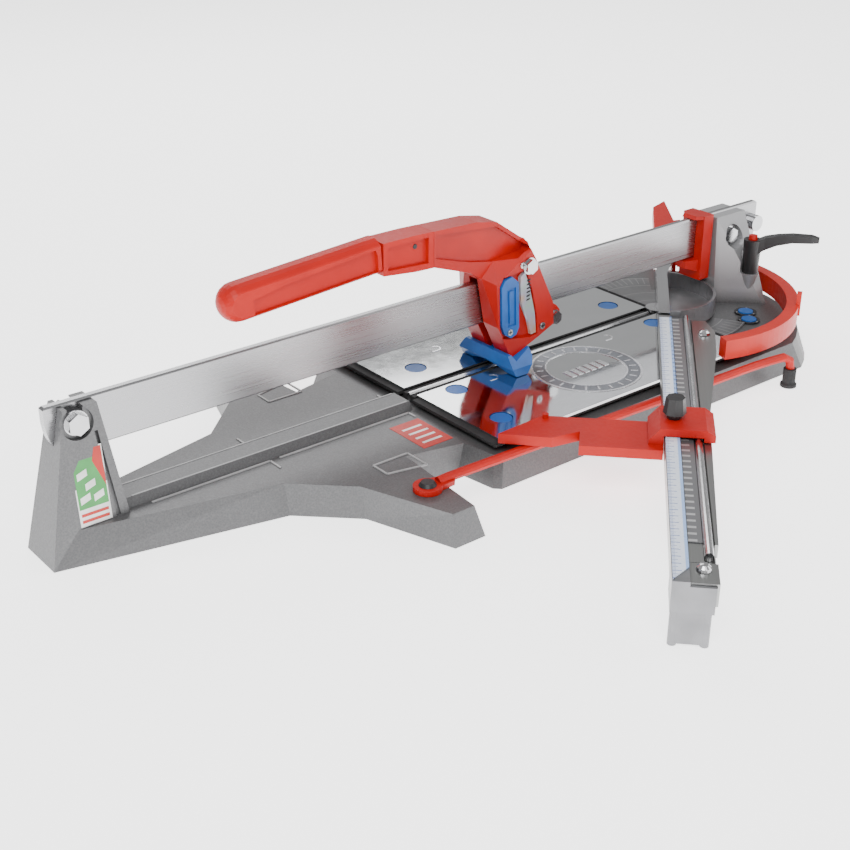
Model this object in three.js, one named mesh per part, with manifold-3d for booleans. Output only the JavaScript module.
// Manual tile cutter: a cast base with a steel rail on two posts, a rolling scoring head with a
// breaking foot, sprung tile plates, a swivelling measuring square and two fold-out side supports.
// Millimetres. X runs along the rail from the front post to the rear post, Y points to the far side
// and Z is up. The origin is on the bench, under the rail's mid-plane, at the rail's front end.

import * as THREE from 'three';
import { ConvexGeometry } from 'three/addons/geometries/ConvexGeometry.js';
import { mergeVertices } from 'three/addons/utils/BufferGeometryUtils.js';
import Module from 'manifold-3d';

const wasm = await Module();
wasm.setup();

// ---------------------------------------------------------------------------- driving dimensions
const GAP = 0.3;                     // clearance between pieces that touch
const FINE = 28;                     // sides of a round piece that shows
const COARSE = 16;                   // sides of a small round piece

const RAIL_LENGTH = 868;
const RAIL_HALF_THICKNESS = 4;
const RAIL_BOTTOM = 89;
const RAIL_TOP = 134;

const BASE_TOP = 29;                 // top face of the casting
const BASE_WALL = 6;
const NOSE_FRONT = -17;
const BOX_FRONT = 352;               // front wall of the wide rear part
const BOX_HALF_WIDTH = 148;
const SPINE_HALF_WIDTH = 12;
const SPINE_TOP = 37;

const PLATE_TOP = 39.4;              // face that the tile lies on
const PLATE_THICKNESS = 2.4;
const PLATE_FRONT = 370;
const PLATE_REAR = 709;
const BREAKER_REAR = 703;            // rear end of the breaking bar, short of the swivel pin
const PLATE_OUTER = 132;             // distance of a plate's outer edge from the rail
const PLATE_INNER = 10;              // distance of a plate's inner edge from the rail
const PAD_BOTTOM = 33.6;             // a plate's backing stays clear of the casting, so that it can tilt
const DAMPER_RADIUS = 11;

const PIVOT_X = 716;                 // swivel axis of the measuring square
const ARM_ANGLE = 223.7;             // direction of the arm at rest, in degrees from +X
const ARM_LENGTH = 584;
const ARM_BOTTOM = 41.5;
const ARM_TOP = 57;
const DRUM_RADIUS = 63;
const PIN_RADIUS = 6;
const SECTOR_INNER = 138;
const SECTOR_OUTER = 151;
const SECTOR_TOP = 61;
const STOP_EDGE = 308;               // distance of the stop's straight edge from the swivel axis

const FULCRUM_X = 540;               // axle of the lower roller, which the head rocks about
const LOWER_ROLLER_RADIUS = 8.7;
const FULCRUM_Z = RAIL_BOTTOM - GAP - LOWER_ROLLER_RADIUS;
const UPPER_ROLLER_RADIUS = 13;
const UPPER_ROLLER_X = 495;
const UPPER_ROLLER_Z = RAIL_TOP + GAP + UPPER_ROLLER_RADIUS;
const WHEEL_X = 506;
const WHEEL_RADIUS = 8;
const WHEEL_Z = PLATE_TOP + 1 + WHEEL_RADIUS;
const HEAD_HALF_WIDTH = 28;          // half width of the lower body, over the rail
const EAR_HALF_WIDTH = 18.7;         // half width of the ears that hold the lower roller
const NECK_HALF_WIDTH = 13;          // half width of the arm that leads to the grip
const LINK_PIN_X = 369;
const LINK_PIN_Z = 189;

const CLAMP_X = 815;                 // stud that the clamp lever turns on
const CLAMP_Y = -45;
const SUPPORT_X = 272;               // pivot of a side support on its wing
const SUPPORT_Y = 148;
const SUPPORT_ROD_RADIUS = 4.5;

// ---------------------------------------------------------------------------------- materials
function finish(color, roughness, metalness) {
  return new THREE.MeshStandardMaterial({ color, roughness, metalness });
}

const castGrey = () => finish(0x5c5c60, 0.5, 0.6);
const castMetal = () => finish(0x8b8c92, 0.4, 0.8);
const railSteel = () => finish(0xc4c5c8, 0.28, 1.0);
const brightSteel = () => finish(0xd9dadd, 0.18, 1.0);
const plateMetal = () => finish(0xc9cacd, 0.12, 1.0);
const profileMetal = () => finish(0xb4b5b4, 0.35, 0.9);
const redPaint = () => finish(0xd6301f, 0.35, 0.0);
const redPlastic = () => finish(0xdc3a28, 0.45, 0.0);
const bluePlastic = () => finish(0x2f76c4, 0.4, 0.0);
const blackPlastic = () => finish(0x1c1c1e, 0.45, 0.0);
const blackRubber = () => finish(0x161616, 0.85, 0.0);
const rulerWhite = () => finish(0xdfe4f2, 0.4, 0.0);
const brassMetal = () => finish(0xb6975a, 0.3, 1.0);
const clearPlastic = () => finish(0xc8b8c8, 0.1, 0.0);

// ------------------------------------------------------------------------------ shape helpers
const between = (a, b) => [Math.min(a, b), Math.max(a, b)];
const vector = (x, y, z) => new THREE.Vector3(x, y, z);

const extrude = (shape, depth, curveSegments) => (
  new THREE.ExtrudeGeometry(shape, { depth, bevelEnabled: false, curveSegments })
);

// Outline in X and Z, drawn out between two values of Y.
function alongY(shape, yLow, yHigh, curveSegments = 8) {
  const geometry = extrude(shape, yHigh - yLow, curveSegments);
  geometry.rotateX(Math.PI / 2);
  return geometry.translate(0, yHigh, 0);
}

// Outline in Y and Z, drawn out between two values of X.
function alongX(shape, xLow, xHigh, curveSegments = 8) {
  const geometry = extrude(shape, xHigh - xLow, curveSegments);
  geometry.applyMatrix4(new THREE.Matrix4().makeBasis(vector(0, 1, 0), vector(0, 0, 1), vector(1, 0, 0)));
  return geometry.translate(xLow, 0, 0);
}

// Outline in X and Y, drawn out between two values of Z.
function alongZ(shape, zLow, zHigh, curveSegments = 8) {
  const geometry = extrude(shape, zHigh - zLow, curveSegments);
  return geometry.translate(0, 0, zLow);
}

function polygon(points) {
  return new THREE.Shape(points.map(([a, b]) => new THREE.Vector2(a, b)));
}

function box([xLow, xHigh], [yLow, yHigh], [zLow, zHigh]) {
  const geometry = new THREE.BoxGeometry(xHigh - xLow, yHigh - yLow, zHigh - zLow);
  return geometry.translate((xLow + xHigh) / 2, (yLow + yHigh) / 2, (zLow + zHigh) / 2);
}

// Cylinders about X, Y or Z, from one value of that coordinate to another.
function cylinderX(y, z, radius, xLow, xHigh, sides = FINE) {
  const geometry = new THREE.CylinderGeometry(radius, radius, xHigh - xLow, sides).rotateZ(Math.PI / 2);
  return geometry.translate((xLow + xHigh) / 2, y, z);
}

function cylinderY(x, z, radius, yLow, yHigh, sides = FINE) {
  const geometry = new THREE.CylinderGeometry(radius, radius, yHigh - yLow, sides);
  return geometry.translate(x, (yLow + yHigh) / 2, z);
}

function cylinderZ(x, y, radius, zLow, zHigh, sides = FINE, topRadius = radius) {
  const geometry = new THREE.CylinderGeometry(topRadius, radius, zHigh - zLow, sides).rotateX(Math.PI / 2);
  return geometry.translate(x, y, (zLow + zHigh) / 2);
}

function hull(points) {
  return new ConvexGeometry(points.map(([x, y, z]) => vector(x, y, z)));
}

// A prism between two outlines with the same number of points: walls with draft, as a casting has.
function draftedPrism(lowOutline, zLow, highOutline, zHigh) {
  const count = lowOutline.length;
  const low = lowOutline.map(([x, y]) => new THREE.Vector2(x, y));
  const high = highOutline.map(([x, y]) => new THREE.Vector2(x, y));
  const positions = [];
  low.forEach((p) => positions.push(p.x, p.y, zLow));
  high.forEach((p) => positions.push(p.x, p.y, zHigh));
  const index = [];
  THREE.ShapeUtils.triangulateShape(low, []).forEach(([a, b, c]) => index.push(a, c, b));
  THREE.ShapeUtils.triangulateShape(high, []).forEach(([a, b, c]) => {
    index.push(count + a, count + b, count + c);
  });
  for (let i = 0; i < count; i += 1) {
    const next = (i + 1) % count;
    index.push(i, next, count + next);
    index.push(i, count + next, count + i);
  }
  const geometry = new THREE.BufferGeometry();
  geometry.setAttribute('position', new THREE.Float32BufferAttribute(positions, 3));
  geometry.setIndex(index);
  return geometry;
}

function arcPoints(cx, cy, radius, fromDegrees, toDegrees, steps) {
  const points = [];
  for (let i = 0; i <= steps; i += 1) {
    const angle = THREE.MathUtils.degToRad(fromDegrees + ((toDegrees - fromDegrees) * i) / steps);
    points.push([cx + radius * Math.cos(angle), cy + radius * Math.sin(angle)]);
  }
  return points;
}

const mirrorY = (points) => points.map(([x, y, z]) => (z === undefined ? [x, -y] : [x, -y, z]));

// Solids for joining and cutting.
function solid(geometry) {
  const bare = geometry.clone();
  const extra = Object.keys(bare.attributes).filter((name) => name !== 'position');
  extra.forEach((name) => bare.deleteAttribute(name));
  const merged = mergeVertices(bare, 1e-4);
  const mesh = new wasm.Mesh({
    numProp: 3,
    vertProperties: new Float32Array(merged.attributes.position.array),
    triVerts: new Uint32Array(merged.index.array),
  });
  return new wasm.Manifold(mesh);
}

function geometryOf(manifold) {
  const mesh = manifold.getMesh();
  const geometry = new THREE.BufferGeometry();
  geometry.setAttribute('position', new THREE.BufferAttribute(new Float32Array(mesh.vertProperties), 3));
  geometry.setIndex(new THREE.BufferAttribute(new Uint32Array(mesh.triVerts), 1));
  const flat = geometry.toNonIndexed();
  flat.computeVertexNormals();
  return flat;
}

const join = (...parts) => geometryOf(parts.map(solid).reduce((sum, next) => sum.add(next)));
const cut = (body, ...tools) => (
  geometryOf(tools.map(solid).reduce((rest, tool) => rest.subtract(tool), solid(body)))
);
const common = (a, b) => geometryOf(solid(a).intersect(solid(b)));

// A hexagon-headed bolt along Y, head at yHead, pointing to +Y when towards is 1.
function hexBolt(x, z, yHead, towards, headRadius, headLength, shankRadius, shankLength) {
  const headEnd = yHead + towards * headLength;
  const shankEnd = headEnd + towards * shankLength;
  const head = cylinderY(x, z, headRadius, Math.min(yHead, headEnd), Math.max(yHead, headEnd), 6);
  const washer = cylinderY(x, z, headRadius * 1.12, ...between(headEnd - towards, headEnd));
  const start = headEnd - towards;
  const shank = cylinderY(x, z, shankRadius, Math.min(start, shankEnd), Math.max(start, shankEnd), COARSE);
  return join(head, washer, shank);
}

const cutter = new THREE.Group();
cutter.name = 'tile_cutter';

function add(group, name, geometry, material) {
  const mesh = new THREE.Mesh(geometry, material);
  mesh.name = name;
  group.add(mesh);
  return mesh;
}

// ------------------------------------------------------------------------------- base casting
const REAR_BOTTOM_RADIUS = 164;
const REAR_TOP_RADIUS = 153;
const REAR_STEPS = 18;

function baseOutline(inset, rearRadius) {
  const near = [
    [NOSE_FRONT + inset, -25 + inset],
    [183, -68 + inset],
    [231, -114 + inset],
    [260 + inset * 0.4, -200 + inset],
    [293 - inset, -200 + inset],
    [303 - inset, -90 + inset * 0.4],
    [BOX_FRONT - 6 + inset, -100],
    [BOX_FRONT + inset, -BOX_HALF_WIDTH + 6 + inset],
    [BOX_FRONT + 6 + inset, -BOX_HALF_WIDTH + inset],
  ];
  const half = THREE.MathUtils.radToDeg(Math.asin((BOX_HALF_WIDTH - inset) / rearRadius));
  const rear = arcPoints(PIVOT_X, 0, rearRadius, -half, half, REAR_STEPS);
  return [...near, ...rear, ...mirrorY(near).reverse()];
}

const POST_BOLT_X = 23;
const POST_BOLT_Z = 118;
const REAR_BOLT_X = 806;
const REAR_BOLT_Z = 110.5;
const BOLT_CLEARANCE = 5.3;

const POST_TOP = RAIL_TOP - 2.5;

function frontPost() {
  const foot = [[NOSE_FRONT, -25], [60, -25], [60, 25], [NOSE_FRONT, 25]].map(([x, y]) => [x, y, 0]);
  const top = [[12, -13], [42, -13], [42, 13], [12, 13]].map(([x, y]) => [x, y, POST_TOP]);
  return hull([...foot, ...top]);
}

function frontPostTools() {
  const slot = new THREE.Shape();
  slot.moveTo(-40, RAIL_TOP + 30);
  slot.lineTo(-40, RAIL_BOTTOM + 30);
  slot.lineTo(-GAP, RAIL_BOTTOM + 30);
  slot.quadraticCurveTo(2, RAIL_BOTTOM - GAP, 26, RAIL_BOTTOM - GAP);
  slot.lineTo(90, RAIL_BOTTOM - GAP);
  slot.lineTo(90, RAIL_TOP + 30);
  const tools = [
    alongY(slot, -RAIL_HALF_THICKNESS - GAP, RAIL_HALF_THICKNESS + GAP),
    cylinderY(POST_BOLT_X, POST_BOLT_Z, BOLT_CLEARANCE, -40, 40, COARSE),
  ];
  for (const side of [-1, 1]) {
    const inner = side * 11;
    const outer = side * 40;
    const range = [Math.min(inner, outer), Math.max(inner, outer)];
    tools.push(cylinderY(POST_BOLT_X, POST_BOLT_Z, 14, ...range));
    // notch from the top of each ear down to the bolt
    const open = between(side * (RAIL_HALF_THICKNESS - 1), outer);
    tools.push(box([POST_BOLT_X - 7, POST_BOLT_X + 7], open, [POST_BOLT_Z + 8, RAIL_TOP + 10]));
    // groove that sets off the fin at the back of the post
    const groove = hull([
      [36, side * 10, 108], [39, side * 10, 108], [36, side * 30, 108], [39, side * 30, 108],
      [44, side * 20, BASE_TOP + 1], [48, side * 20, BASE_TOP + 1], [44, side * 34, BASE_TOP + 1],
      [48, side * 34, BASE_TOP + 1],
    ]);
    tools.push(groove);
  }
  return tools;
}

const REAR_EAR_TOP = 133;
const LEDGE_TOP = 36.5;                // floor inside the half ring
const CLAMP_SEAT = 72;                 // top of the boss under the clamp lever

function rearEar(side) {
  const inner = side * (RAIL_HALF_THICKNESS + GAP);
  const top = [[786, inner], [786, side * 16], [832, side * 16], [832, inner]]
    .map(([x, y]) => [x, y, REAR_EAR_TOP]);
  const foot = [[783, inner], [783, side * 25], [828, side * 66], [838, side * 50], [844, inner]];
  return hull([...top, ...foot.map(([x, y]) => [x, y, BASE_TOP - 3])]);
}

function rearPostTools() {
  const tools = [
    cylinderY(REAR_BOLT_X, REAR_BOLT_Z, BOLT_CLEARANCE, -80, 80, COARSE),
    cylinderZ(CLAMP_X, CLAMP_Y, 4.2, 40, 90, COARSE),
  ];
  for (const side of [-1, 1]) {
    const range = [Math.min(side * 17, side * 60), Math.max(side * 17, side * 60)];
    tools.push(cylinderY(REAR_BOLT_X, REAR_BOLT_Z, 13, ...range));
  }
  tools.push(cylinderZ(CLAMP_X, CLAMP_Y, 11.5, CLAMP_SEAT, 160));
  return tools;
}

function baseCasting() {
  const body = draftedPrism(baseOutline(0, REAR_BOTTOM_RADIUS), 0, baseOutline(7, REAR_TOP_RADIUS), BASE_TOP);
  const spine = hull([
    ...[[30, 17], [PLATE_FRONT - 9, 17]].flatMap(([x, y]) => [[x, -y, BASE_TOP - 3], [x, y, BASE_TOP - 3]]),
    ...[30, PLATE_FRONT - 11].flatMap((x) => [
      [x, -SPINE_HALF_WIDTH, SPINE_TOP], [x, SPINE_HALF_WIDTH, SPINE_TOP],
    ]),
  ]);
  const rearBlock = box([791, 842], [-20, 20], [BASE_TOP - 3, RAIL_BOTTOM - GAP]);
  const clampBoss = cylinderZ(CLAMP_X, CLAMP_Y, 4, CLAMP_SEAT - 20, CLAMP_SEAT, FINE, 10);
  const halfDisc = polygon(arcPoints(PIVOT_X, 0, SECTOR_INNER - 3, -92, 92, REAR_STEPS));
  const ledge = alongZ(halfDisc, BASE_TOP - 3, LEDGE_TOP);
  const shell = [body, spine, frontPost(), rearBlock, rearEar(-1), rearEar(1), clampBoss, ledge].map(solid);
  const casting = shell.reduce((sum, next) => sum.add(next));

  const roof = BASE_TOP - BASE_WALL;
  const tools = [...frontPostTools(), ...rearPostTools()];
  // bays under the wide part, between a middle rib and two cross ribs
  const bays = [[BOX_FRONT + 16, 480], [488, 620], [628, 760]];
  for (const [start, end] of bays) {
    for (const side of [-1, 1]) {
      for (const [inner, outer] of [[8, 67], [75, 134]]) {
        const y = [Math.min(side * inner, side * outer), Math.max(side * inner, side * outer)];
        tools.push(box([start, end], y, [-5, roof]));
      }
    }
  }
  // hollow nose, wings and rear end
  for (const side of [-1, 1]) {
    const nose = [[70, 6], [70, 36], [178, 56], [222, 92], [268, 92], [290, 84], [340, 84], [340, 6]];
    const mirrored = side < 0 ? mirrorY(nose).reverse() : nose;
    tools.push(alongZ(polygon(mirrored), -5, roof));
    const wing = [[240, 99], [283, 99], [283, 186], [270, 186]];
    tools.push(alongZ(polygon(side < 0 ? mirrorY(wing).reverse() : wing), -5, roof - 8));
  }
  tools.push(box([768, 846], [-60, 60], [-5, roof]));
  // holes for the square's pivot pin and the side supports' pivots
  tools.push(cylinderZ(PIVOT_X, 0, PIN_RADIUS + GAP, -5, 60, COARSE));
  for (const side of [-1, 1]) {
    tools.push(cylinderZ(SUPPORT_X, side * SUPPORT_Y, 4.3, 10, 60, COARSE));
  }
  return geometryOf(tools.map(solid).reduce((rest, tool) => rest.subtract(tool), casting));
}

add(cutter, 'base_casting', baseCasting(), castGrey());

// ----------------------------------------------------------------------------- rail and bolts
const RAIL_END_SCREW = [RAIL_LENGTH - 10, 112];

function railBar() {
  const side = new THREE.Shape();
  side.moveTo(0, RAIL_TOP - 2);
  side.lineTo(0, RAIL_BOTTOM + 30);
  side.quadraticCurveTo(2, RAIL_BOTTOM, 26, RAIL_BOTTOM);
  side.lineTo(RAIL_LENGTH - 12, RAIL_BOTTOM);
  side.quadraticCurveTo(RAIL_LENGTH, RAIL_BOTTOM, RAIL_LENGTH, RAIL_BOTTOM + 12);
  side.lineTo(RAIL_LENGTH, RAIL_TOP - 2);
  side.lineTo(RAIL_LENGTH - 2, RAIL_TOP);
  side.lineTo(2, RAIL_TOP);
  const half = RAIL_HALF_THICKNESS;
  const section = polygon([
    [-half, RAIL_BOTTOM + 1.5], [-half + 1.5, RAIL_BOTTOM],
    [half - 1.5, RAIL_BOTTOM], [half, RAIL_BOTTOM + 1.5],
    [half, RAIL_TOP - 1.5], [half - 1.5, RAIL_TOP], [-half + 1.5, RAIL_TOP], [-half, RAIL_TOP - 1.5],
  ]);
  const bar = common(alongY(side, -half, half), alongX(section, -5, RAIL_LENGTH + 5));
  return cut(
    bar,
    cylinderY(POST_BOLT_X, POST_BOLT_Z, BOLT_CLEARANCE, -10, 10, COARSE),
    cylinderY(REAR_BOLT_X, REAR_BOLT_Z, BOLT_CLEARANCE, -10, 10, COARSE),
    cylinderY(...RAIL_END_SCREW, 3.4, -10, 10, COARSE),
  );
}

add(cutter, 'rail_bar', railBar(), railSteel());
add(cutter, 'front_rail_bolt', hexBolt(POST_BOLT_X, POST_BOLT_Z, -18, 1, 9.5, 6.7, 5, 29), brightSteel());
add(cutter, 'front_rail_nut', cut(
  cylinderY(POST_BOLT_X, POST_BOLT_Z, 9.5, 11 + GAP, 18, 6),
  cylinderY(POST_BOLT_X, POST_BOLT_Z, 5 + GAP, 8, 22, COARSE),
), brightSteel());
add(cutter, 'rear_rail_bolt', hexBolt(REAR_BOLT_X, REAR_BOLT_Z, -24, 1, 9, 6.7, 5, 41), brightSteel());
add(cutter, 'rear_rail_nut', cut(
  cylinderY(REAR_BOLT_X, REAR_BOLT_Z, 9, 17 + GAP, 23.5, 6),
  cylinderY(REAR_BOLT_X, REAR_BOLT_Z, 5 + GAP, 15, 26, COARSE),
), brightSteel());
add(cutter, 'rail_end_screw', join(
  cylinderY(...RAIL_END_SCREW, 9, -16, -RAIL_HALF_THICKNESS - GAP),
  cylinderY(...RAIL_END_SCREW, 3.1, -6, 8, COARSE),
), brightSteel());

// Red end bracket that wraps over the rail in front of the rear post.
function railBracket() {
  const top = RAIL_TOP + 4;
  const column = box([766, 781], [-15, 15], [65, top]);
  const lip = hull([
    [757, -9, top - 3.5], [757, 9, top - 3.5], [768, -15, top - 3.5], [768, 15, top - 3.5],
    [760, -9, top], [760, 9, top], [768, -15, top], [768, 15, top],
  ]);
  const toe = hull([
    [767, -12, 74], [767, 12, 74], [767, -12, 88], [767, 12, 88],
    [750, -7, 80], [750, 7, 80], [750, -7, 88], [750, 7, 88],
  ]);
  const slot = box(
    [700, 800],
    [-RAIL_HALF_THICKNESS - GAP, RAIL_HALF_THICKNESS + GAP],
    [RAIL_BOTTOM - GAP, RAIL_TOP + GAP],
  );
  return cut(join(column, lip, toe), slot);
}

add(cutter, 'rail_bracket', railBracket(), redPaint());

// ------------------------------------------------------------------------------ tile platform
function breakingBar() {
  const section = polygon([
    [-2, SPINE_TOP - 7], [2, SPINE_TOP - 7], [2, 37.2], [1, 38.9], [-1, 38.9], [-2, 37.2],
  ]);
  return alongX(section, PLATE_FRONT - 2, BREAKER_REAR);
}

function breakerChannel() {
  const outer = polygon([[-8.6, BASE_TOP + GAP], [8.6, BASE_TOP + GAP], [8.6, 36.8], [-8.6, 36.8]]);
  const groove = polygon([[-2.3, SPINE_TOP - 7 - GAP], [2.3, SPINE_TOP - 7 - GAP], [2.3, 45], [-2.3, 45]]);
  return cut(alongX(outer, PLATE_FRONT - 2, BREAKER_REAR), alongX(groove, PLATE_FRONT - 9, BREAKER_REAR + 9));
}

add(cutter, 'breaking_bar', breakingBar(), brightSteel());
add(cutter, 'breaker_channel', breakerChannel(), blackRubber());

// Outline of one tile plate, grown inward by inset.
function plateOutline(side, inset) {
  const points = [
    [PLATE_FRONT + inset, PLATE_INNER + inset],
    [PLATE_REAR - inset, PLATE_INNER + inset],
    [PLATE_REAR - inset, PLATE_OUTER - inset],
    [PLATE_FRONT + inset, PLATE_OUTER - inset],
  ];
  return side < 0 ? mirrorY(points).reverse() : points;
}

const DAMPERS = {
  near: [[401, -97], [408, -24], [683, -27]],
  far: [[409, 41], [681, 40]],
};

function plateHoles(spots, radius) {
  return spots.map(([x, y]) => cylinderZ(x, y, radius, 20, 50, COARSE + 4));
}

function platform(name, side, spots) {
  const sheetBottom = PLATE_TOP - PLATE_THICKNESS;
  const rim = side < 0 ? [-PLATE_OUTER, -PLATE_INNER - 1.5] : [PLATE_INNER + 1.5, PLATE_OUTER];
  const sheet = alongZ(polygon(plateOutline(side, 0)), sheetBottom, PLATE_TOP);
  const pad = join(
    alongZ(polygon(plateOutline(side, 1.5)), PAD_BOTTOM, sheetBottom - GAP),
    box([PLATE_FRONT - 7, PLATE_FRONT + 5], rim, [PAD_BOTTOM, sheetBottom - GAP]),
  );
  add(cutter, `${name}_plate`, cut(sheet, ...plateHoles(spots, DAMPER_RADIUS + GAP)), plateMetal());
  add(cutter, `${name}_plate_pad`, cut(pad, ...plateHoles(spots, DAMPER_RADIUS + GAP)), blackRubber());
  spots.forEach(([x, y], i) => {
    const topRadius = DAMPER_RADIUS - 0.5;
    const damper = cylinderZ(x, y, DAMPER_RADIUS, PAD_BOTTOM, PLATE_TOP - 0.6, COARSE + 4, topRadius);
    add(cutter, `${name}_damper_${i + 1}`, damper, bluePlastic());
  });
}

platform('near', -1, DAMPERS.near);
platform('far', 1, DAMPERS.far);

const REAR_DAMPERS = [[773, -83], [788, -66]];
REAR_DAMPERS.forEach(([x, y], i) => {
  const seat = LEDGE_TOP + GAP;
  add(cutter, `rear_damper_${i + 1}`, cylinderZ(x, y, 8.5, seat, seat + 2.5, COARSE + 4, 8), bluePlastic());
});

// Fixed plate with the lines of the angle scale, flat on the ledge beside the rear post.
function anglePlate() {
  const seat = LEDGE_TOP + GAP;
  const nearFan = [[PIVOT_X, 0], ...arcPoints(PIVOT_X, 0, 98, -90, -62, 6)];
  const farFan = [[PIVOT_X, 0], ...arcPoints(PIVOT_X, 0, 98, 48, 90, 8)];
  const middle = arcPoints(PIVOT_X, 0, 60, -90, 90, 20);
  const layers = [nearFan, farFan, middle].map((outline) => alongZ(polygon(outline), seat, seat + 1.8));
  return cut(join(...layers), cylinderZ(PIVOT_X, 0, PIN_RADIUS + 7, 20, 60, FINE));
}

add(cutter, 'angle_plate', anglePlate(), castMetal());

// ------------------------------------------------------------------------- measuring square
// Built about its swivel axis: +X runs out along the arm, +Y is the side away from the tile.
const square = new THREE.Group();
square.position.set(PIVOT_X, 0, 0);
square.rotation.z = THREE.MathUtils.degToRad(ARM_ANGLE);
cutter.add(square);

const DRUM_FLOOR = 44;

function swivelDrum() {
  const profile = [
    new THREE.Vector2(DRUM_RADIUS - 3, DRUM_FLOOR - 2.5),
    new THREE.Vector2(DRUM_RADIUS, DRUM_FLOOR - 2.5),
    new THREE.Vector2(DRUM_RADIUS, SECTOR_TOP),
    new THREE.Vector2(DRUM_RADIUS - 3, SECTOR_TOP),
    new THREE.Vector2(DRUM_RADIUS - 3, DRUM_FLOOR - 2.5),
  ];
  const wall = new THREE.LatheGeometry(profile, 48).rotateX(Math.PI / 2);
  const floor = cylinderZ(0, 0, DRUM_RADIUS - 1, DRUM_FLOOR - 2.5, DRUM_FLOOR, 48);
  const keep = box([-80, 80], [12 + GAP, 80], [0, 100]);
  return common(join(wall, floor), keep);
}

// Machined block whose front face is the fence through the swivel axis.
function fenceBlock() {
  const outline = polygon([[-108, 0], [60, 0], [60, 12], [-62, 12], [-108, 20]]);
  return alongZ(outline, ARM_BOTTOM, SECTOR_TOP - 2);
}

function armProfile() {
  const section = polygon([
    [0, ARM_BOTTOM], [34, ARM_BOTTOM], [34, ARM_TOP - 4], [33, ARM_TOP - 3.2],
    [25.4, ARM_TOP - 3.2], [25.4, ARM_TOP - 2.4], [13.4, ARM_TOP - 2.4], [13.4, ARM_TOP], [0, ARM_TOP],
  ]);
  const groove = cylinderX(29, ARM_TOP - 2.2, 4.2, 50, ARM_LENGTH + 20, COARSE);
  return cut(alongX(section, DRUM_RADIUS + 0.5, ARM_LENGTH - 32), groove);
}

function armEndFoot() {
  const cap = box([ARM_LENGTH - 32 + GAP, ARM_LENGTH], [0, 33], [30, ARM_TOP - 4]);
  const rib = box([ARM_LENGTH - 32 + GAP, ARM_LENGTH], [0, 13.4], [ARM_TOP - 6, ARM_TOP]);
  const web = box([ARM_LENGTH - 5, ARM_LENGTH - 1], [2, 30], [2, 31]);
  const posts = [4, 28].map((y) => cylinderZ(ARM_LENGTH - 4, y, 3.6, 0, 34, COARSE));
  return cut(join(cap, rib, web, ...posts), cylinderZ(ARM_LENGTH - 22, 24, 3.5, 20, 80, COARSE));
}

const ROOT_SCREW = [104, 46];

function armSidePlate() {
  const outline = polygon([
    [67, 34 + GAP], [ARM_LENGTH - 60, 34 + GAP], [ARM_LENGTH - 60, 37],
    [300, 42], [150, 56], [96, 57.5], [67, 49],
  ]);
  const plate = alongZ(outline, ARM_BOTTOM + 1, ARM_TOP - 3);
  return cut(plate, cylinderZ(...ROOT_SCREW, 3.4, 30, 80, COARSE));
}

function armEndBracket() {
  const top = box([ARM_LENGTH - 31, ARM_LENGTH - 3], [13.8, 35.2], [ARM_TOP - 3.7, ARM_TOP - 2.1]);
  const skirt = box([ARM_LENGTH - 31, ARM_LENGTH - 3], [33.4, 35.2], [ARM_BOTTOM - 6, ARM_TOP - 2.1]);
  return cut(join(top, skirt), cylinderZ(ARM_LENGTH - 22, 24, 3.5, 20, 80, COARSE));
}

function domeNut(x, y, z) {
  const profile = [
    new THREE.Vector2(0, 5), new THREE.Vector2(3.2, 4.4),
    new THREE.Vector2(5.4, 2.4), new THREE.Vector2(6.2, 0),
    new THREE.Vector2(3.2, 0), new THREE.Vector2(3.2, -14), new THREE.Vector2(0, -14),
  ];
  return new THREE.LatheGeometry(profile.reverse(), COARSE).rotateX(Math.PI / 2).translate(x, y, z);
}

add(square, 'fence_block', fenceBlock(), brightSteel());
add(square, 'swivel_drum', swivelDrum(), castMetal());
add(square, 'arm_profile', armProfile(), profileMetal());
add(square, 'arm_ruler', alongZ(polygon([
  [72, 0.6], [ARM_LENGTH - 2, 0.6], [ARM_LENGTH - 20, 13], [72, 13],
]), ARM_TOP + GAP, ARM_TOP + 1.1), rulerWhite());
add(square, 'arm_scale', box([66, ARM_LENGTH - 60], [14, 25], [ARM_TOP - 2.1, ARM_TOP - 1.4]), castMetal());
add(square, 'arm_rod', cylinderX(29, ARM_TOP - 2.2, 3.8, 64, ARM_LENGTH - 40, COARSE), brightSteel());
add(square, 'arm_side_plate', armSidePlate(), profileMetal());
add(square, 'arm_end_foot', armEndFoot(), castMetal());
add(square, 'arm_end_bracket', armEndBracket(), profileMetal());
add(square, 'arm_end_nut', domeNut(ARM_LENGTH - 22, 24, ARM_TOP - 1.8), brightSteel());
add(square, 'arm_root_screw', domeNut(...ROOT_SCREW, ARM_TOP - 2.6), brightSteel());
add(square, 'square_pivot_pin', join(
  cylinderZ(0, 0, PIN_RADIUS, 12, ARM_BOTTOM - GAP, COARSE),
  cylinderZ(0, 0, PIN_RADIUS + 6, LEDGE_TOP + GAP, ARM_BOTTOM - GAP, FINE),
), brightSteel());

// Red fence on the far side, which holds a large tile in line with the arm.
function farFence() {
  const outline = polygon([
    [-112, 0], [-314, 0], [-343, 15], [-262, 25], [-266, 33], [-256, 33], [-252, 24], [-112, 24],
  ]);
  return alongZ(outline, ARM_BOTTOM, ARM_TOP);
}

// Red half ring that carries the angle scale behind the rear post.
const SECTOR_SPAN = [26, 169];         // degrees from the arm
const TAB_ANGLE = 81;                  // a short upright tab on the ring's outer face

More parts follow.
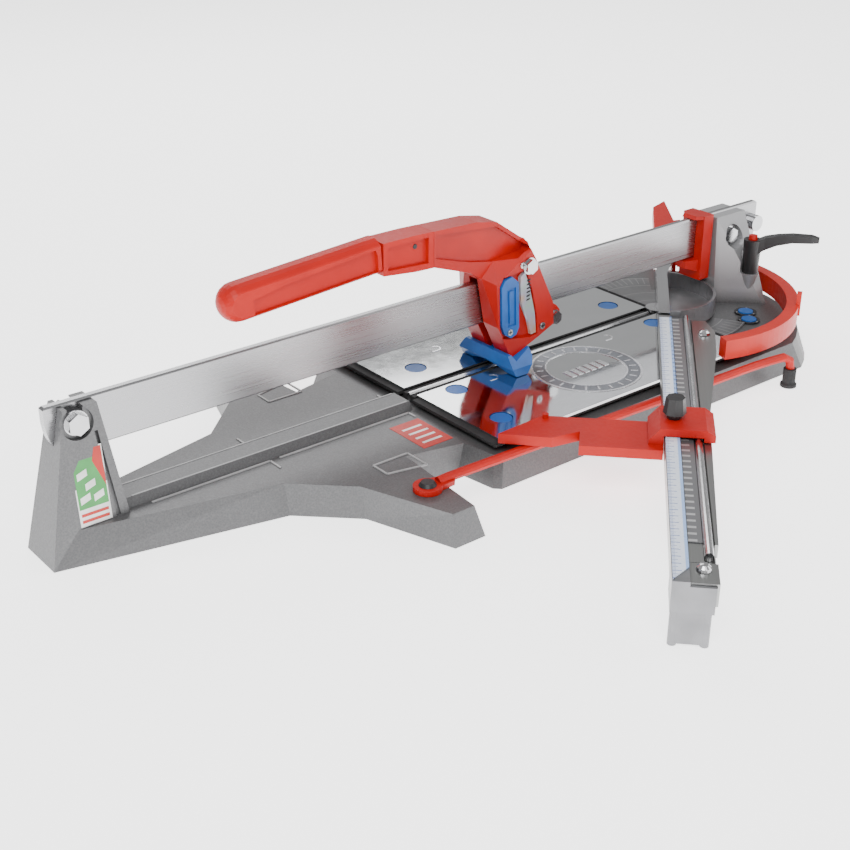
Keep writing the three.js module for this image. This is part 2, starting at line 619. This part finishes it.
function angleSector() {
  const outer = arcPoints(0, 0, SECTOR_OUTER, ...SECTOR_SPAN, 40);
  const inner = arcPoints(0, 0, SECTOR_INNER, ...SECTOR_SPAN, 40).reverse();
  const ring = alongZ(polygon([...outer, ...inner]), PLATE_TOP + 1, SECTOR_TOP);
  const tab = box([SECTOR_OUTER - 3, SECTOR_OUTER + 2], [-3, 3], [SECTOR_TOP - 12, SECTOR_TOP + 14]);
  return join(ring, tab.rotateZ(THREE.MathUtils.degToRad(TAB_ANGLE)));
}

add(square, 'far_fence', farFence(), redPlastic());
add(square, 'angle_sector', angleSector(), redPlastic());

// Sliding stop on the arm, with its set-square blade across the tile.
function stopBlade() {
  const blade = polygon([
    [STOP_EDGE, -109], [STOP_EDGE, -GAP - 0.5], [STOP_EDGE + 56, -GAP - 0.5], [STOP_EDGE + 56, -74],
    [STOP_EDGE + 28, -74], [STOP_EDGE + 44, -98], [STOP_EDGE + 42, -146],
  ]);
  const marker = cylinderZ(STOP_EDGE + 4, -106, 3, 49, 54, COARSE);
  const plate = alongZ(blade, PLATE_TOP + 1.2, 50);
  const bridge = alongX(polygon([
    [-14, 46], [-GAP - 0.5, 46], [-GAP - 0.5, ARM_TOP + 2], [34, ARM_TOP + 2], [34, ARM_BOTTOM + 4],
    [44, ARM_BOTTOM + 4], [44, ARM_TOP + 4], [36, ARM_TOP + 9], [-4, ARM_TOP + 9], [-14, 54],
  ]), STOP_EDGE - 2, STOP_EDGE + 46);
  const clearance = box([STOP_EDGE - 9, STOP_EDGE + 60], [33, 60], [ARM_BOTTOM, ARM_TOP - 2]);
  return cut(join(plate, marker, bridge), clearance, cylinderZ(STOP_EDGE + 22, 8, 3.3, 40, 90, COARSE));
}

function stopKnob() {
  const base = cylinderZ(0, 0, 6.5, 0, 6, 8);
  const cap = cylinderZ(0, 0, 10.5, 5, 20, 8, 8.5);
  const stem = cylinderZ(0, 0, 3, -6.5, 2, COARSE);
  return join(base, cap, stem).translate(STOP_EDGE + 22, 8, ARM_TOP + 9 + GAP);
}

add(square, 'stop_blade', stopBlade(), redPlastic());
add(square, 'stop_knob', stopKnob(), blackPlastic());

// ------------------------------------------------------------------------------- scoring head
// Outline of a cheek's outer face, without the ear for the lower roller.
const CHEEK = [
  [453.4, 136.5], [497.6, 162.7], [503.6, 152.8], [529, 101.5], [531, 78], [509.6, 68.8], [474.4, 55.5],
  [462.4, 79.7], [456.6, 91.6],
];
const NECK_FRONT = 388.3;
const CHEEK_FACE = -HEAD_HALF_WIDTH + 4;   // floor of the pocket in the near cheek

// The same outline drawn out on both sides from inner to outer distance from the rail.
function bothSides(points, inner, outer) {
  return [alongY(polygon(points), -outer, -inner), alongY(polygon(points), inner, outer)];
}

function headCasting() {
  const neck = alongY(polygon([
    [NECK_FRONT, 165.3], [NECK_FRONT, 200.2], [440, 198.5], [465, 193.7], [506, 165.4], [514, 148],
    [461.4, 130.2], [432.5, 149.8],
  ]), -NECK_HALF_WIDTH, NECK_HALF_WIDTH);
  const shoulder = [[447, 141], [462, 156], [501, 170], [508, 160]];
  const body = hull([-1, 1].flatMap((side) => [
    ...CHEEK.map(([x, z]) => [x, side * HEAD_HALF_WIDTH, z]),
    ...shoulder.map(([x, z]) => [x, side * NECK_HALF_WIDTH, z]),
  ]));
  const ear = alongY(
    polygon([[515, 72], [536, 71], [547, 77], [548, 86], [543, 92], [529, 101], [515, 106]]),
    -EAR_HALF_WIDTH,
    EAR_HALF_WIDTH,
  );
  const space = RAIL_HALF_THICKNESS + 2;
  const railTunnel = alongY(polygon([
    [420, 40], [600, 40], [600, 162], [514, 162], [477, 140], [420, 137],
  ]), -space, space);
  const panel = [[391, 173], [391, 196], [464, 189.5], [503, 163], [499, 158], [460, 155], [430, 161]];
  const tools = [
    railTunnel,
    cylinderY(UPPER_ROLLER_X, UPPER_ROLLER_Z, UPPER_ROLLER_RADIUS + 2, -8, 8),
    cylinderY(FULCRUM_X, FULCRUM_Z, LOWER_ROLLER_RADIUS + 2, -8, 8),
    cylinderY(UPPER_ROLLER_X, UPPER_ROLLER_Z, 3.4, -40, 40, COARSE),
    cylinderY(FULCRUM_X, FULCRUM_Z, 3.4, -40, 40, COARSE),
    // shallow panel in each side of the neck
    ...bothSides(panel, NECK_HALF_WIDTH - 3.5, NECK_HALF_WIDTH + 12),
    // pocket for the cover and the window in the near cheek
    alongY(polygon([
      [457.2, 134], [462, 142], [491, 144], [500, 121], [507, 95],
      [508.5, 73], [499, 71.5], [464, 78], [458.8, 92],
    ]), -40, CHEEK_FACE),
    // room for the wheel holder
    box([492, 520], [-9, 9], [40, 72.5]),
  ];
  return cut(join(neck, body, ear), ...tools);
}

const GRIP_RADIUS = 17.5;
const GRIP_LENGTH = 162.5;
const GRIP_HALF_WIDTH = 13.2;
const GRIP_TIP_X = 165.5;
const GRIP_TIP_Z = 177;
const GRIP_SLOPE = 4;                  // degrees, rising towards the head

// Grip with a round end and flat sides, made along +X from the tip and then tilted into place.
function grip() {
  const steps = 6;
  const profile = [];
  for (let i = 0; i <= steps; i += 1) {
    const angle = (Math.PI / 2) * (i / steps);
    profile.push(new THREE.Vector2(GRIP_RADIUS * Math.sin(angle), GRIP_RADIUS * (1 - Math.cos(angle))));
  }
  profile.push(new THREE.Vector2(GRIP_RADIUS, GRIP_LENGTH));
  profile.push(new THREE.Vector2(0, GRIP_LENGTH));
  const round = new THREE.LatheGeometry(profile, 24);
  round.applyMatrix4(new THREE.Matrix4().makeBasis(vector(0, 0, 1), vector(1, 0, 0), vector(0, 1, 0)));
  const flat = box([0, GRIP_LENGTH + 2], [-GRIP_HALF_WIDTH, GRIP_HALF_WIDTH], [-20, 20]);
  const pocket = [
    [27, -12.5], [27, 2], [60, 6],
    [GRIP_LENGTH - 6, 9], [GRIP_LENGTH - 4, 4], [GRIP_LENGTH - 4, -12.5],
  ];
  const body = cut(common(round, flat), ...bothSides(pocket, GRIP_HALF_WIDTH - 4, GRIP_HALF_WIDTH + 6));
  return body.rotateY(THREE.MathUtils.degToRad(-GRIP_SLOPE)).translate(GRIP_TIP_X, 0, GRIP_TIP_Z);
}

const LINK_FRONT = 330;

function handleLink() {
  const end = NECK_FRONT - GAP;
  const outline = polygon([
    [LINK_FRONT, 170], [LINK_FRONT, 201], [367, 201], [end, 200.3], [end, 165.2], [367, 166],
  ]);
  const pocket = [[LINK_FRONT + 5, 174], [LINK_FRONT + 5, 196], [end - 6, 196], [end - 6, 171]];
  const bore = cylinderY(LINK_PIN_X, LINK_PIN_Z, 2.6, -30, 30, COARSE);
  return cut(
    alongY(outline, -NECK_HALF_WIDTH, NECK_HALF_WIDTH),
    ...bothSides(pocket, NECK_HALF_WIDTH - 4, NECK_HALF_WIDTH + 7),
    bore,
  );
}

add(cutter, 'head_casting', headCasting(), redPaint());
add(cutter, 'handle_grip', grip(), redPlastic());
add(cutter, 'handle_link', handleLink(), redPlastic());
add(cutter, 'handle_pin', cylinderY(LINK_PIN_X, LINK_PIN_Z, 2.3, -9.4, 9.4, COARSE), blackPlastic());

function roller(x, z, radius, halfWidth) {
  const profile = [
    new THREE.Vector2(3.3, -halfWidth), new THREE.Vector2(radius, -halfWidth),
    new THREE.Vector2(radius, halfWidth),
    new THREE.Vector2(3.3, halfWidth), new THREE.Vector2(3.3, -halfWidth),
  ];
  return new THREE.LatheGeometry(profile, FINE).translate(x, 0, z);
}

add(cutter, 'upper_roller', roller(UPPER_ROLLER_X, UPPER_ROLLER_Z, UPPER_ROLLER_RADIUS, 5), brightSteel());
add(cutter, 'lower_roller', roller(FULCRUM_X, FULCRUM_Z, LOWER_ROLLER_RADIUS, 5), brightSteel());
add(cutter, 'upper_roller_bolt', hexBolt(
  UPPER_ROLLER_X, UPPER_ROLLER_Z, -HEAD_HALF_WIDTH - 5 - GAP, 1, 7.5, 5, 3, 2 * HEAD_HALF_WIDTH + 4,
), brightSteel());
add(cutter, 'lower_roller_bolt', hexBolt(
  FULCRUM_X, FULCRUM_Z, -EAR_HALF_WIDTH - 5 - GAP, 1, 7, 5, 3, 2 * EAR_HALF_WIDTH + 4,
), brightSteel());

function wheelHolder() {
  const fork = box([499, 513], [-8.7, 8.7], [WHEEL_Z - 3, 71.5]);
  const slot = box([490, 520], [-2.2, 2.2], [30, WHEEL_Z + WHEEL_RADIUS + 1.5]);
  const axle = cylinderY(WHEEL_X, WHEEL_Z, 1.9, -8.6, 8.6, COARSE);
  return join(cut(fork, slot), axle);
}

function scoringWheel() {
  const profile = [
    new THREE.Vector2(2.2, -1.6), new THREE.Vector2(5, -1.6),
    new THREE.Vector2(WHEEL_RADIUS, 0), new THREE.Vector2(5, 1.6),
    new THREE.Vector2(2.2, 1.6), new THREE.Vector2(2.2, -1.6),
  ];
  return new THREE.LatheGeometry(profile, FINE).translate(WHEEL_X, 0, WHEEL_Z);
}

add(cutter, 'wheel_holder', wheelHolder(), brassMetal());
add(cutter, 'scoring_wheel', scoringWheel(), brightSteel());

// Breaking foot: a wedge under the head that presses the tile on both sides of the score.
function breakerFoot() {
  const low = PLATE_TOP + 0.8;
  const side = alongY(polygon([
    [466, 48], [471, low], [486, low], [496, 56], [496, 62.7], [474.3, 54.7], [471.3, 60.5], [466.5, 60.5],
  ]), -41, 41);
  const front = alongX(polygon([[-41, low], [41, low], [41, 49], [30, 63], [-30, 63], [-41, 49]]), 460, 500);
  const arch = cylinderX(0, low - 54, 60, 460, 500, 48);
  return cut(common(side, front), arch);
}

add(cutter, 'breaker_foot', breakerFoot(), bluePlastic());

// Cover and window in the near cheek.
function sideCover() {
  const outline = polygon([
    [458.5, 132.5], [463, 139.5], [472, 141.5], [480.5, 134], [482.7, 87],
    [479.5, 80], [472.5, 77.6], [465, 82.5], [460.2, 93],
  ]);
  const cover = alongY(outline, CHEEK_FACE - 5.5, CHEEK_FACE - GAP);
  const grooveOutline = polygon([[465.5, 130], [477, 130], [478.5, 90], [468, 90]]);
  const ridgeOutline = polygon([[468.5, 127], [474, 127], [475.5, 93], [470.5, 93]]);
  const frame = alongY(grooveOutline, CHEEK_FACE - 9, CHEEK_FACE - 4);
  const ridge = alongY(ridgeOutline, CHEEK_FACE - 5.5, CHEEK_FACE - 2);
  return join(cut(cover, frame), ridge);
}

add(cutter, 'side_cover', sideCover(), bluePlastic());

function springWindow() {
  const outline = polygon([
    [484, 138], [490, 141.5], [498, 120], [504.8, 95],
    [507, 74.5], [500.5, 74], [496, 90], [485.5, 112],
  ]);
  return alongY(outline, CHEEK_FACE - 4, CHEEK_FACE - GAP);
}

add(cutter, 'spring_window', springWindow(), clearPlastic());

// -------------------------------------------------------------------------------- clamp lever
const LEVER_DIRECTION = -57;
const LEVER_LENGTH = 70;
// Distance from the hub, height of the middle, half height and half width along the lever.
const LEVER_STATIONS = [
  [4, 29, 8, 7], [13, 35, 7, 5.6], [26, 40, 5.5, 5], [42, 43.5, 4.5, 4.5],
  [LEVER_LENGTH - 8, 44.5, 4, 4.2], [LEVER_LENGTH, 44, 2.6, 3],
];

function clampLever() {
  const hub = cylinderZ(0, 0, 8.5, 0, 38, FINE, 10);
  const stations = LEVER_STATIONS.map(([reach, middle, halfHeight, halfWidth]) => (
    [[-1, -1], [-1, 1], [1, -1], [1, 1]].map(([v, w]) => [reach, v * halfWidth, middle + w * halfHeight])
  ));
  const lengths = stations.slice(1).map((station, index) => hull([...stations[index], ...station]));
  const lever = cut(
    join(hub, ...lengths),
    cylinderZ(0, 0, 4.3, -1, 30, COARSE),
    cylinderZ(0, 0, 5.4, 32, 60, COARSE),
    cylinderZ(0, 0, 3, 29, 33, COARSE),
  );
  return lever.rotateZ(THREE.MathUtils.degToRad(LEVER_DIRECTION)).translate(CLAMP_X, CLAMP_Y, 72.3);
}

add(cutter, 'clamp_lever', clampLever(), blackPlastic());
add(cutter, 'clamp_stud', cylinderZ(CLAMP_X, CLAMP_Y, 3.8, 44, 100, COARSE), brightSteel());
add(cutter, 'clamp_button', cylinderZ(CLAMP_X, CLAMP_Y, 5, 107.5, 115, COARSE, 4.6), redPlastic());

// --------------------------------------------------------------------------- side supports
// A bent rod on each wing, with a rubber foot, swings out to carry a wide tile.
const SUPPORT_REACH = 466;
const SUPPORT_ROD_Z = 34.6;
const EYE_TOP = 34;
const SUPPORT_SPLAY = 2;             // degrees that each rod points outwards at rest

const FOOT_OFFSET = 3;              // sideways set of the rod's end, to clear the casting

function supportArm(side) {
  const path = new THREE.CurvePath();
  const heel = vector(11, 0, SUPPORT_ROD_Z - 0.6);
  const start = vector(20, 0, SUPPORT_ROD_Z);
  const out = side * FOOT_OFFSET;
  const knee = vector(SUPPORT_REACH - 62, 0, SUPPORT_ROD_Z);
  const elbow = vector(SUPPORT_REACH - 38, 0, SUPPORT_ROD_Z);
  const wrist = vector(SUPPORT_REACH - 13, out, SUPPORT_ROD_Z);
  const bend = vector(SUPPORT_REACH, out * 1.5, SUPPORT_ROD_Z);
  const tip = vector(SUPPORT_REACH, out * 1.5, 20);
  path.add(new THREE.QuadraticBezierCurve3(heel, vector(14, 0, SUPPORT_ROD_Z), start));
  path.add(new THREE.LineCurve3(start, knee));
  path.add(new THREE.QuadraticBezierCurve3(knee, elbow, wrist));
  path.add(new THREE.QuadraticBezierCurve3(wrist, bend, tip));
  const round = new THREE.Shape();
  round.absarc(0, 0, SUPPORT_ROD_RADIUS, 0, 2 * Math.PI);
  const rod = new THREE.ExtrudeGeometry(round, { steps: 46, extrudePath: path, curveSegments: 5 });
  const eye = alongZ(polygon([
    ...arcPoints(0, 0, 13, 40, 320, 12), [24, -7], [30, 0], [24, 7],
  ]), BASE_TOP + GAP, EYE_TOP);
  return cut(join(rod, eye), cylinderZ(0, 0, 4.3, 0, 60, COARSE));
}

function supportFoot(side) {
  const profile = [
    new THREE.Vector2(0, 0), new THREE.Vector2(8.5, 0), new THREE.Vector2(8.5, 3), new THREE.Vector2(6.8, 5),
    new THREE.Vector2(6.8, 19.7), new THREE.Vector2(0, 19.7),
  ];
  return new THREE.LatheGeometry(profile, COARSE)
    .rotateX(Math.PI / 2)
    .translate(SUPPORT_REACH, side * FOOT_OFFSET * 1.5, 0);
}

function supportScrew() {
  return join(
    cylinderZ(0, 0, 3.9, 16, EYE_TOP + 1, COARSE),
    cylinderZ(0, 0, 8, EYE_TOP + GAP, EYE_TOP + 3.4, FINE, 6),
  );
}

for (const [name, side] of [['near', -1], ['far', 1]]) {
  const support = new THREE.Group();
  support.position.set(SUPPORT_X, side * SUPPORT_Y, 0);
  support.rotation.z = THREE.MathUtils.degToRad(side * SUPPORT_SPLAY);
  cutter.add(support);
  add(support, `${name}_support_arm`, supportArm(side), redPlastic());
  add(support, `${name}_support_foot`, supportFoot(side), blackRubber());
  add(support, `${name}_support_screw`, supportScrew(), blackPlastic());
}

export default cutter;
